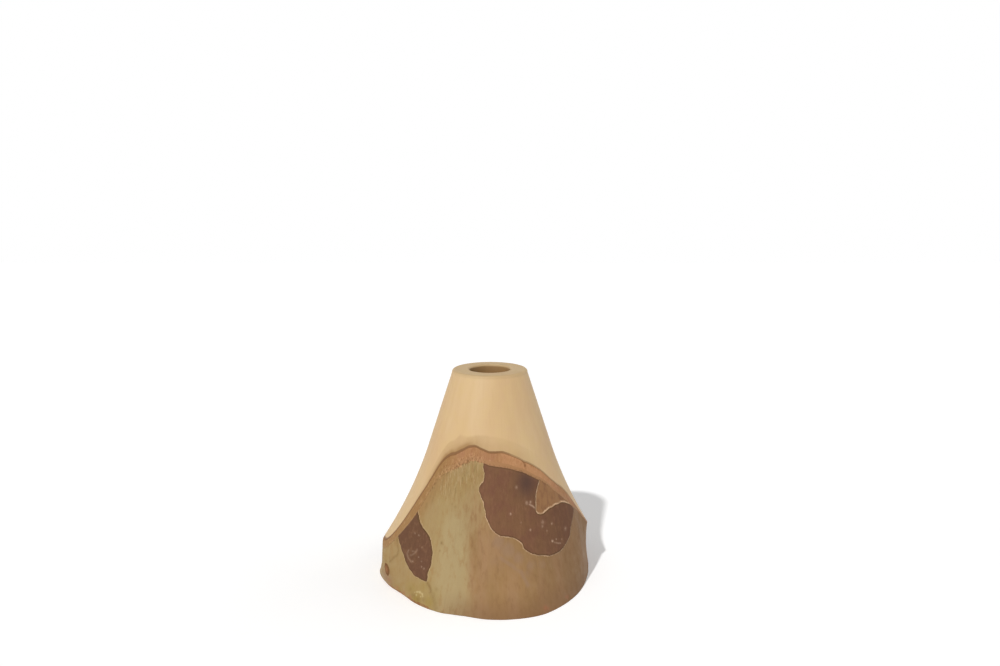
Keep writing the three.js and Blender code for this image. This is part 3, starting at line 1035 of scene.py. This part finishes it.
skin_marks = {
    "marks": (DARK_SPOTS, DARK_STROKES),
    "pale_marks": (PALE_SPOTS, PALE_STROKES),
    "rust": (RUST_SPOTS,),
    "rosy": (ROSY_SPOTS, ROSY_STROKES),
    "lichen": (LICHEN_SPOTS,),
    "knot_halo": (((KNOT_ANGLE - 2, KNOT_HEIGHT - 6, 5, 0.8),),),
}
skin_values = {
    "flake_gap": np.pad(
        flake_gap,
        ((1, len(rows) - 1 - len(levels)), (0, 0)),
        constant_values=FAR_FROM_FLAKE,
    ),
    "cut": cut,
    "fringe": 2.6 * span(angle_grid, -52, -44, -6, 2) + 0.5,
    "left_side": left_side,
    "tan_side": tan_side,
    "pale_band": np.clip(pale_band, 0, 1),
    "near_arch": near_arch,
    "tongue": tongue,
    "flecked": np.maximum(flecked, foot_streaks),
    "worn": np.clip(worn_span * blend(heights, chamfer + 1.2, chamfer + 0.1), 0, 1),
    # Painted shade: darker towards the right, round the back, and in the lower right corner by the
    # foot.
    "painted_shade_and_darker_tone": np.maximum(0.55 * np.maximum(blend(angle_grid, 18, 62), at_back), dark_corner),
    "rim_side": 0.4 + 0.55 * blend(angle_grid, -30, -10) + 0.1 * tongue,
    "frayed": span(cut, -2.4, -0.1, 1.2, 4.5) * frayed_span,
    # Painted shade near the floor, from the front round to the right and the back.
    "painted_foot_shade": blend(heights, 16, 0) * np.maximum(blend(angle_grid, -40, -10), at_back),
}
for name, drawn in skin_marks.items():
    skin_values[name] = all_marks(angle_grid, heights, *drawn)
skin_mesh = mesh_of_rows(
    "smooth_bark",
    rows,
    skin_values,
    sharp_rows=(0, 1, len(levels), len(levels) + CUT_ROWS),
)
add_piece("smooth_bark", skin_mesh, "vase", "smooth_bark", smooth_bark())

# Flakes of old bark


def cut_lines(across):
    """Angle, and the heights at which a flake's top and the skin reach the turned form."""
    angle = np.degrees(across / UNROLL_RADIUS)
    return angle, cut_height(flake_radius, angle), cut_height(skin_radius, angle)


def flake_mesh(name, outline, specks, scratches):
    """A raised flake inside its outline, cut off with the turned form at the arch."""
    low, high = outline.min(axis=0), outline.max(axis=0)
    across = np.arange(low[0], high[0], GRID_STEP)
    height = np.arange(low[1], high[1], GRID_STEP * 0.866)
    grid = np.stack(np.meshgrid(across, height), axis=-1)
    grid[1::2, :, 0] += GRID_STEP / 2
    grid = grid.reshape(-1, 2)
    skin_line = cut_lines(grid[:, 0])[2]
    grid = grid[inside_of(outline, grid) & (grid[:, 1] < skin_line + 3)]
    grid = grid[distance_to(outline, grid[:, 0], grid[:, 1]) > 0.6 * GRID_STEP]
    count = len(outline) - 1
    ring = [(i, (i + 1) % count) for i in range(count)]
    points = [tuple(p) for p in np.vstack([outline[:-1], grid])]
    points, _, faces, *_ = delaunay_2d_cdt(points, ring, [], 1, 1e-6)

    # Heights are measured between the two lines, so that each is a straight cut.
    flat = np.array([(p.x, p.y) for p in points])
    angle, top_line, skin_line = cut_lines(flat[:, 0])
    level = (flat[:, 1] - top_line) / (skin_line - top_line)
    work = bmesh.new()
    corners = [work.verts.new((x, y, 0)) for x, y in zip(flat[:, 0], level)]
    for face in faces:
        work.faces.new([corners[i] for i in face])
    for place, clear in ((0, False), (1, True)):
        bmesh.ops.bisect_plane(
            work,
            geom=work.verts[:] + work.edges[:] + work.faces[:],
            plane_co=(0, place, 0),
            plane_no=(0, 1, 0),
            clear_outer=clear,
            dist=1e-4,
        )
    bmesh.ops.triangulate(work, faces=work.faces[:])
    work.verts.ensure_lookup_table()
    work.verts.index_update()
    flat = np.array([(v.co.x, v.co.y) for v in work.verts])
    faces = [[v.index for v in face.verts] for face in work.faces]
    loops = [edge.link_loops[0] for edge in work.edges if edge.is_boundary]
    sides = [(loop.vert.index, loop.link_loop_next.vert.index) for loop in loops]
    work.free()

    angle, top_line, skin_line = cut_lines(flat[:, 0])
    height = top_line + flat[:, 1] * (skin_line - top_line)
    gap = distance_to(outline, flat[:, 0], height)
    rise = (FLAKE_THICKNESS - FLAKE_EDGE_HEIGHT) * blend(gap, 0, FLAKE_EDGE_WIDTH)
    skin = skin_radius(angle, height)
    surface = turned_radius(height) - CUT_STEP
    upper = at(angle, np.minimum(skin + FLAKE_EDGE_HEIGHT + rise, surface), height)
    under = at(angle, np.minimum(skin, surface) - FLAKE_SINK, height)
    count = len(flat)
    faces += [[i + count for i in reversed(face)] for face in faces]
    faces += [[b, a, a + count, b + count] for a, b in sides]
    level = np.concatenate([flat[:, 1], flat[:, 1] - 100])
    rim = {frozenset(side) for side in sides}

    def is_sharp(ends):
        at_cut = (np.abs(level[ends]) < 1e-3).all(axis=1)
        return at_cut | np.array([frozenset(side) in rim for side in ends.tolist()])

    values = {
        "flake_gap": gap,
        "cut": (flat[:, 1] - 0.8) * (skin_line - top_line),
        "specks": all_marks(angle, height, specks, scratches),
        "smudge": 0.9 * bump(angle, 31, 8) * bump(height, 74.5, 8),
        # Painted shade towards the right; the darker left flake is its own colour.
        "painted_shade_and_darker_tone": 0.5 * blend(angle, 20, 65) + 0.75 * blend(angle, -20, -40),
    }
    values = {key: np.tile(data, 2) for key, data in values.items()}
    return new_mesh(name, np.vstack([upper, under]), faces, is_sharp, values)


# Pale specks and scratches, as angle and height, with their size and strength.
RIGHT_SPECKS = (
    (16.4, 57.6, 0.55, 0.9), (30.7, 46.9, 0.5, 0.75), (49.1, 47.2, 0.5, 0.8),
    (47.1, 37.2, 0.6, 0.95), (30, 62.7, 0.9, 0.5), (33.2, 62.8, 0.7, 0.6), (50.6, 37.4, 0.4, 0.6),
    (52, 34.6, 0.4, 0.5), (22.4, 72.7, 0.9, 0.3), (41.4, 49.6, 1.1, 0.3), (40.7, 47.3, 0.8, 0.3),
    (60.7, 41.1, 1.1, 0.3), (24, 52, 0.4, 0.4), (55.5, 36, 0.4, 0.4), (44, 44, 0.4, 0.35),
)
RIGHT_SCRATCHES = (
    (((32, 61.6), (34.5, 60.4), (38.1, 57.5)), 0.45, 0.5),
    (((48.5, 36), (52, 34.5), (54, 34)), 0.35, 0.35),
)
LEFT_SPECKS = (
    (-44.9, 21.3, 0.5, 0.42), (-46.9, 21.9, 0.4, 0.42), (-52.1, 39.9, 0.45, 0.35),
    (-54.6, 40.7, 0.4, 0.3), (-53.5, 23.7, 0.5, 0.4), (-50, 27, 0.35, 0.35),
    (-47.5, 25, 0.35, 0.3), (-49, 33, 0.35, 0.3),
)
LEFT_SCRATCHES = (
    (((-56.6, 29.8), (-57.4, 27.5), (-56.2, 24.7), (-54.1, 23.1)), 0.4, 0.22),
    (((-54.6, 29.7), (-52, 29.7), (-51.7, 31.3)), 0.4, 0.18),
    (((-55.2, 26.7), (-52.5, 29.1)), 0.4, 0.18),
)

flake_finish = old_bark()
for name, *drawn in (
    ("flake_right", right_outline, RIGHT_SPECKS, RIGHT_SCRATCHES),
    ("flake_left", left_outline, LEFT_SPECKS, LEFT_SCRATCHES),
):
    mesh = flake_mesh(name, *drawn)
    add_piece(name, mesh, "vase", "bark_" + name, flake_finish)

# Pin knot: a low dome set in the bark


def knot_mesh():
    knot_rings = 12
    knot_steps = 72
    turn = np.linspace(0, math.tau, knot_steps, endpoint=False)
    tilt = math.radians(KNOT_TILT)
    rows, from_heart = [], []

    def ring(size, lift):
        wave = 1 + 0.05 * np.sin(3 * turn + 1) + 0.03 * np.sin(7 * turn)
        along = KNOT_HALF_WIDTH * size * wave * np.cos(turn)
        up = KNOT_HALF_HEIGHT * size * wave * np.sin(turn)
        across = along * math.cos(tilt) - up * math.sin(tilt)
        height = KNOT_HEIGHT + along * math.sin(tilt) + up * math.cos(tilt)
        angle = KNOT_ANGLE + np.degrees(across / LOG_RADIUS)
        rows.append(at(angle, skin_radius(angle, height) + lift, height))
        from_heart.append(np.full(knot_steps, size))

    ring(1.0, -1.0)
    ring(1.0, 0.05)
    for f in np.linspace(1, 0, knot_rings, endpoint=False):
        dome = 0.32 * (1 - f**4) - 0.22 * bump(f, 0.72, 0.12)
        ring(f * 0.97, 0.08 + dome)
    rows = np.array(rows)
    return mesh_of_rows(
        "pin_knot",
        rows,
        {"from_heart": np.array(from_heart)},
        start=rows[0].mean(axis=0),
        end=rows[-1].mean(axis=0),
    )


add_piece("pin_knot", knot_mesh(), "vase", "pin_knot", knot_wood())

# Glass tube


def tube_mesh():
    ball_centre = TUBE_BOTTOM + TUBE_RADIUS
    wall_top = TUBE_BOTTOM + TUBE_LENGTH - TUBE_WALL / 2

    def wall(radius):
        """Profile of the bowl and of the straight wall over it."""
        turns = math.pi / 2 * fractions(BOWL_ROWS)
        bowl = [(radius * math.sin(t), ball_centre - radius * math.cos(t)) for t in turns]
        rise = wall_top - ball_centre
        return bowl + [(radius, ball_centre + rise * f) for f in fractions(WALL_ROWS)[:-1]]

    rim = arc(TUBE_RADIUS - TUBE_WALL / 2, wall_top, TUBE_WALL / 2, 0, 180)
    profile = wall(TUBE_RADIUS) + rim + wall(TUBE_RADIUS - TUBE_WALL)[::-1]
    rows = turned(profile, np.linspace(0, 360, TUBE_COLUMNS, endpoint=False))
    start = (0, 0, TUBE_BOTTOM)
    return mesh_of_rows("test_tube", rows, {}, start, (0, 0, TUBE_BOTTOM + TUBE_WALL))


add_piece("test_tube", tube_mesh(), "tube", "glass_tube", tube_glass())

# Floor, light and background

FLOOR_HALF = 4
FLOOR_GLOW = 0.18
SKY_STRENGTH = 0.355

floor_mesh = bpy.data.meshes.new("floor")
corners = [(x * FLOOR_HALF, y * FLOOR_HALF, 0) for x, y in ((-1, -1), (1, -1), (1, 1), (-1, 1))]
floor_mesh.from_pydata(corners, [], [(0, 1, 2, 3)])
floor = bpy.data.objects.new("floor", floor_mesh)
bpy.context.scene.collection.objects.link(floor)


def floor_finish():
    """White floor that keeps the object's shadow, with a faint glow that only the eye sees."""
    plain = Finish("floor", 0.9, 0)
    plain.link(WHITE, plain.surface.inputs["Emission Color"])
    plain.link(plain.seen_ray() * FLOOR_GLOW, plain.surface.inputs["Emission Strength"])
    return plain.finish(FLOOR_COLOUR)


floor_mesh.materials.append(floor_finish())

world = bpy.data.worlds.new("studio")
world.use_nodes = True
bpy.context.scene.world = world
studio = Nodes(world.node_tree)
sky = studio.node("Background", Color=WHITE, Strength=SKY_STRENGTH)
backdrop = studio.node("Background", Color=WHITE)
choice = studio.link_all(studio.node("MixShader"), studio.seen_ray(), sky, backdrop)
studio.node("OutputWorld", Surface=choice)

# Strength, width, height, and side as seen from the camera: plus is towards the left.
LIGHTS = {"key": (2.23, 2, 44, 30), "fill": (0.6, 60, 20, -100)}
for name, (strength, width, height, side) in LIGHTS.items():
    data = bpy.data.lights.new(name, "SUN")
    data.energy = strength
    data.angle = math.radians(width)
    lamp = bpy.data.objects.new(name, data)
    lamp.rotation_euler = (math.radians(90 - height), 0, math.radians(-side))
    bpy.context.scene.collection.objects.link(lamp)

bpy.context.scene.view_settings.view_transform = "Standard"
